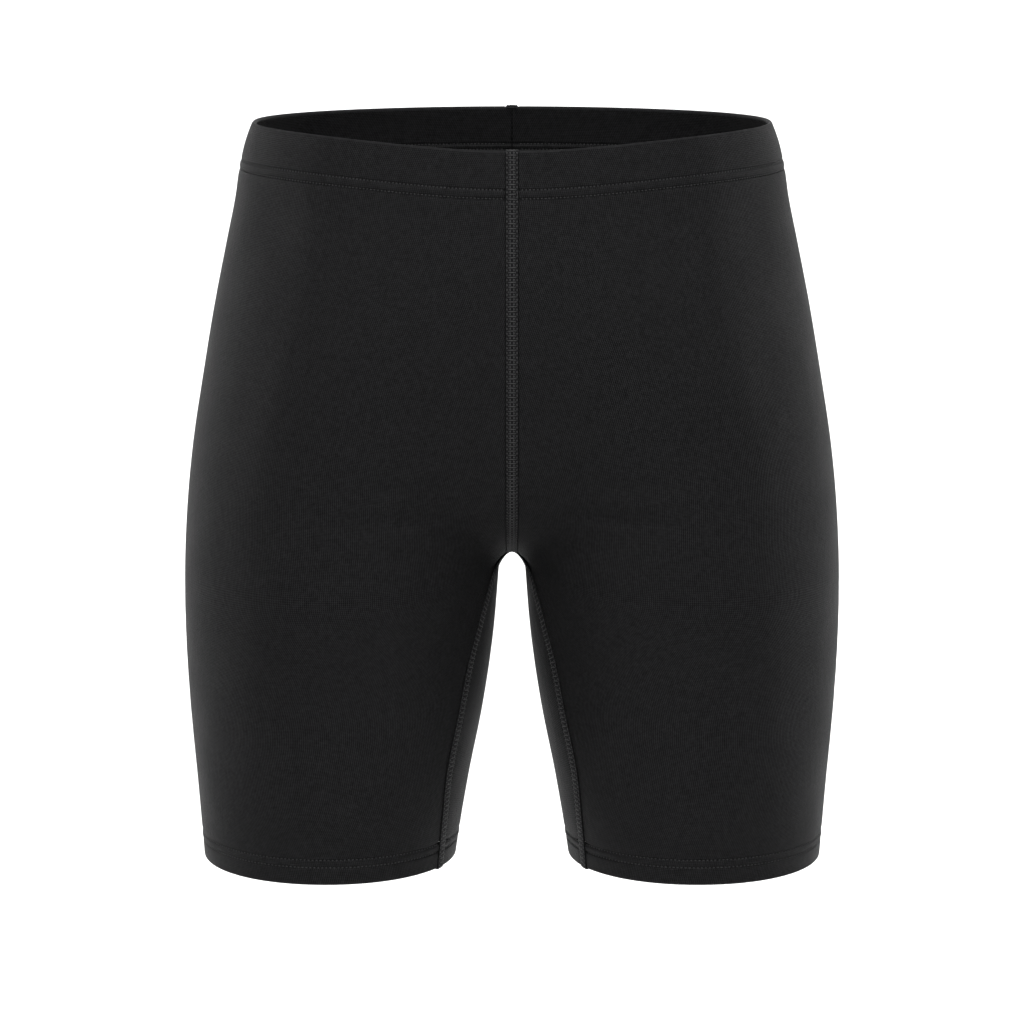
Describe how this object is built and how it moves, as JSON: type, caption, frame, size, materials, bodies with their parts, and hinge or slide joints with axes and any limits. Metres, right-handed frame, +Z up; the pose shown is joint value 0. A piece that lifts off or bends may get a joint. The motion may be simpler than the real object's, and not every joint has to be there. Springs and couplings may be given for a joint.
{
  "type": "cycling shorts",
  "caption": "Close-fitting thigh-length shorts in plain black knit, filled out as when worn, with an elastic waistband, flat seams and open leg hems.",
  "frame": {"origin": "middle of the waist opening, half way down the waistband, where the wearer's waist holds it up", "axes": "+Z up, -Y towards the front, +X towards the wearer's left"},
  "size_m": [0.379, 0.2397, 0.432],
  "materials": {
    "knit": "matt black nylon and elastane warp knit, slightly lustrous",
    "turned_edge": "the same knit, two layers thick, with twin rows of stitching",
    "seam_thread": "black textured seam thread in flat ladder stitches"
  },
  "bodies": {
    "root": {"leg_panel_left": "knit", "leg_panel_right": "knit", "waistband_left": "turned_edge", "waistband_right": "turned_edge", "hem_left": "turned_edge", "hem_right": "turned_edge", "rise_seam_front": "seam_thread", "rise_seam_back": "seam_thread", "inseam_left": "seam_thread", "inseam_right": "seam_thread"}
  },
  "joints": []
}
